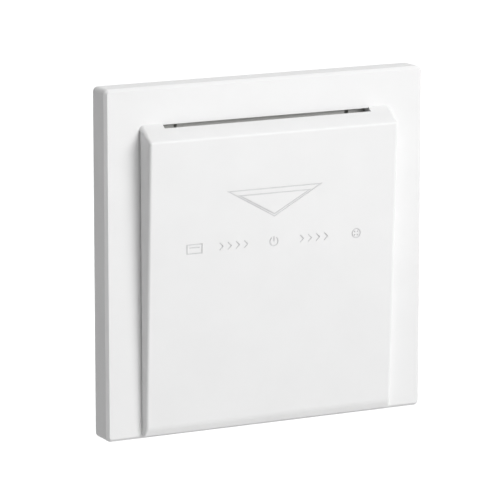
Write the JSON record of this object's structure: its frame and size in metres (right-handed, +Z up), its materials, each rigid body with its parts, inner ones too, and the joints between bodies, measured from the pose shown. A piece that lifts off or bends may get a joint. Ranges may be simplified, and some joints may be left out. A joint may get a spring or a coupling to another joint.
{
  "type": "key card wall switch",
  "caption": "Square wall switch plate with a tapering card pocket; a card in the slot pushes a sprung flap that works a change-over switch in the rear housing.",
  "frame": {"origin": "centre of the front plate on the wall plane, midway between the two wall fixing slots", "axes": "+X to the right seen from the front, +Y into the wall, +Z up; the front faces -Y"},
  "size_m": [0.086, 0.0358, 0.086],
  "materials": {
    "white_plastic": "satin moulded white",
    "frame_plastic": "matt moulded pale grey",
    "housing_plastic": "matt moulded dark grey",
    "flap_plastic": "satin moulded white",
    "switch_plastic": "matt moulded black",
    "plunger_plastic": "smooth moulded red",
    "plated_steel": "zinc plated",
    "spring_steel": "bright drawn wire",
    "blade_copper": "rolled copper alloy",
    "contact_silver": "dull silver alloy",
    "strip_brass": "stamped brass",
    "terminal_brass": "machined brass"
  },
  "bodies": {
    "mechanism": {"support_frame": "frame_plastic", "mechanism_cover": "frame_plastic", "mechanism_base": "housing_plastic", "housing_screws": "plated_steel", "flap_pin": "plated_steel", "flap_springs": "spring_steel", "switch_case": "switch_plastic", "switch_case_lid": "switch_plastic", "switch_screws": "plated_steel", "blade_pin": "plated_steel", "common_strip": "strip_brass", "open_strip": "strip_brass", "open_contact": "contact_silver", "closed_strip": "strip_brass", "closed_contact": "contact_silver", "common_link": "strip_brass", "open_link": "strip_brass", "closed_link": "strip_brass", "common_terminal": "terminal_brass", "open_terminal": "terminal_brass", "closed_terminal": "terminal_brass", "terminal_screws": "plated_steel"},
    "fascia": {"front_plate": "white_plastic", "pocket_cover": "white_plastic"},
    "flap": {"card_flap": "flap_plastic"},
    "plunger": {"switch_plunger": "plunger_plastic"},
    "blade": {"contact_blade": "blade_copper", "moving_contact": "contact_silver"}
  },
  "joints": [
    {"name": "fascia_pull", "type": "slide", "parent": "mechanism", "child": "fascia", "axis": [0, -1, 0], "range_m": [0, 0.03]},
    {"name": "flap_hinge", "type": "hinge", "parent": "mechanism", "child": "flap", "pos_m": [0, -0.0022, 0.0315], "axis": [1, 0, 0], "range_deg": [0, 4.7], "stiffness_Nm_per_rad": 0.14, "springref_deg": -5.16, "deforming": ["flap_springs"]},
    {"name": "plunger_slide", "type": "slide", "parent": "mechanism", "child": "plunger", "axis": [0, 1, 0], "range_m": [0, 0.00125]},
    {"name": "blade_swing", "type": "hinge", "parent": "mechanism", "child": "blade", "pos_m": [0, 0.0072, -0.0007], "axis": [-1, 0, 0], "range_deg": [0, 4.2]}
  ],
  "couplings": [
    {"joint": "plunger_slide", "follows": "flap_hinge", "m_per_rad": 0.015},
    {"joint": "blade_swing", "follows": "flap_hinge", "ratio": 0.87209}
  ]
}
